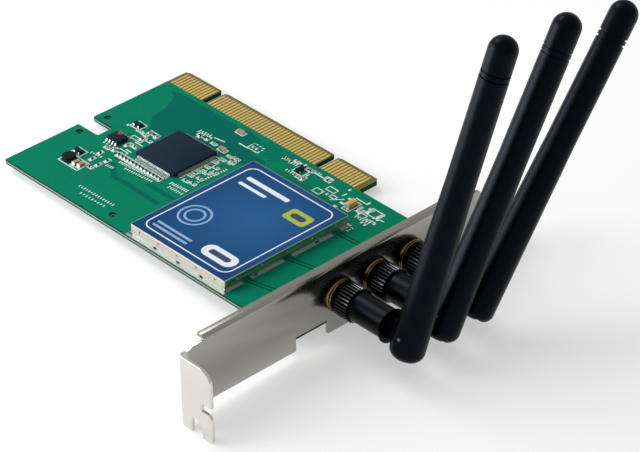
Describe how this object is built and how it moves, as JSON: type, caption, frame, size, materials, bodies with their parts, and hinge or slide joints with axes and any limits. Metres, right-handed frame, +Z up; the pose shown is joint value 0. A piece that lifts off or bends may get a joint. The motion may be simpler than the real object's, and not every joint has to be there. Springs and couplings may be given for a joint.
{
  "type": "wireless network expansion card",
  "caption": "Wireless network card for a desktop slot: keyed edge connector, shielded radio, folded slot bracket and swivelling, tilting aerials on threaded jacks.",
  "frame": {"origin": "middle of the edge connector's insertion end, in the board's mid-plane", "axes": "+X out of the computer through the slot bracket, +Y into the slot, +Z up from the component side"},
  "size_m": [0.1574, 0.1365, 0.0942],
  "materials": {
    "coated_board": "green solder mask over glass-fibre laminate, satin gloss",
    "gold_contacts": "gold flash over copper",
    "nickel_sheet": "nickel-plated sheet steel, semi-bright",
    "tinned_sheet": "tin-plated sheet steel",
    "blue_label": "printed film label, blue field with a pale outline",
    "chip_epoxy": "moulded black epoxy",
    "tinned_leads": "tin-plated copper alloy",
    "tan_ceramic": "fired tan ceramic",
    "resistor_black": "glazed black resistor body",
    "tantalum_orange": "moulded orange epoxy",
    "ferrite_grey": "grey ferrite",
    "gold_brass": "gold-plated brass",
    "white_insulator": "white fluoropolymer",
    "black_chrome": "black-chromed brass, satin",
    "black_moulding": "moulded black polymer, fine satin texture",
    "hinge_steel": "plain steel",
    "radiator_brass": "drawn brass tube over the feed wire"
  },
  "bodies": {
    "card": {"circuit_board": "coated_board", "edge_contacts_front": "gold_contacts", "edge_contacts_back": "gold_contacts", "slot_bracket": "nickel_sheet", "shield_frame": "tinned_sheet", "shield_cover": "tinned_sheet", "shield_label": "blue_label", "main_chip": "chip_epoxy", "main_chip_leads": "tinned_leads", "memory_chip": "chip_epoxy", "memory_chip_leads": "tinned_leads", "transistors": "chip_epoxy", "transistor_leads": "tinned_leads", "power_inductor": "ferrite_grey", "tantalum_capacitor": "tantalum_orange", "large_capacitors": "tan_ceramic", "chip_capacitors": "tan_ceramic", "chip_resistors": "resistor_black", "radio_chip": "chip_epoxy", "power_amplifiers": "chip_epoxy", "clock_crystal": "tinned_sheet", "jack_1_body": "gold_brass", "jack_1_insulator": "white_insulator", "jack_1_contact": "gold_contacts", "jack_1_washer": "gold_brass", "jack_1_nut": "gold_brass", "jack_2_body": "gold_brass", "jack_2_insulator": "white_insulator", "jack_2_contact": "gold_contacts", "jack_2_washer": "gold_brass", "jack_2_nut": "gold_brass", "jack_3_body": "gold_brass", "jack_3_insulator": "white_insulator", "jack_3_contact": "gold_contacts", "jack_3_washer": "gold_brass", "jack_3_nut": "gold_brass"},
    "aerial_1_nut": {"aerial_1_coupling_nut": "black_chrome"},
    "aerial_1_swivel": {"aerial_1_core": "gold_brass", "aerial_1_base": "black_moulding", "aerial_1_hinge_pin": "hinge_steel"},
    "aerial_1_arm": {"aerial_1_rod": "black_moulding", "aerial_1_tip_cap": "black_moulding", "aerial_1_radiator": "radiator_brass"},
    "aerial_2_nut": {"aerial_2_coupling_nut": "black_chrome"},
    "aerial_2_swivel": {"aerial_2_core": "gold_brass", "aerial_2_base": "black_moulding", "aerial_2_hinge_pin": "hinge_steel"},
    "aerial_2_arm": {"aerial_2_rod": "black_moulding", "aerial_2_tip_cap": "black_moulding", "aerial_2_radiator": "radiator_brass"},
    "aerial_3_nut": {"aerial_3_coupling_nut": "black_chrome"},
    "aerial_3_swivel": {"aerial_3_core": "gold_brass", "aerial_3_base": "black_moulding", "aerial_3_hinge_pin": "hinge_steel"},
    "aerial_3_arm": {"aerial_3_rod": "black_moulding", "aerial_3_tip_cap": "black_moulding", "aerial_3_radiator": "radiator_brass"}
  },
  "joints": [
    {"name": "aerial_1_nut_turn", "type": "hinge", "parent": "card", "child": "aerial_1_nut", "pos_m": [0.08475, -0.052, 0.00664], "axis": [1, 0, 0], "continuous": true},
    {"name": "aerial_1_swivel_turn", "type": "hinge", "parent": "card", "child": "aerial_1_swivel", "pos_m": [0.08797, -0.052, 0.00664], "axis": [-1, 0, 0], "range_deg": [-198.4, 8]},
    {"name": "aerial_1_arm_tilt", "type": "hinge", "parent": "aerial_1_swivel", "child": "aerial_1_arm", "pos_m": [0.10665, -0.052, 0.00664], "axis": [0, 0.9489, -0.3156], "range_deg": [-4.2, 85.8]},
    {"name": "aerial_2_nut_turn", "type": "hinge", "parent": "card", "child": "aerial_2_nut", "pos_m": [0.08475, -0.03895, 0.00664], "axis": [1, 0, 0], "continuous": true},
    {"name": "aerial_2_swivel_turn", "type": "hinge", "parent": "card", "child": "aerial_2_swivel", "pos_m": [0.08797, -0.03895, 0.00664], "axis": [-1, 0, 0], "range_deg": [-8, 8]},
    {"name": "aerial_2_arm_tilt", "type": "hinge", "parent": "aerial_2_swivel", "child": "aerial_2_arm", "pos_m": [0.10665, -0.03895, 0.00664], "axis": [0, 0.8805, -0.4741], "range_deg": [-2.1, 87.9]},
    {"name": "aerial_3_nut_turn", "type": "hinge", "parent": "card", "child": "aerial_3_nut", "pos_m": [0.08475, -0.0259, 0.00664], "axis": [1, 0, 0], "continuous": true},
    {"name": "aerial_3_swivel_turn", "type": "hinge", "parent": "card", "child": "aerial_3_swivel", "pos_m": [0.08797, -0.0259, 0.00664], "axis": [-1, 0, 0], "range_deg": [-8, 141.9]},
    {"name": "aerial_3_arm_tilt", "type": "hinge", "parent": "aerial_3_swivel", "child": "aerial_3_arm", "pos_m": [0.10665, -0.0259, 0.00664], "axis": [0, 0.7869, -0.617], "range_deg": [0, 90]}
  ]
}
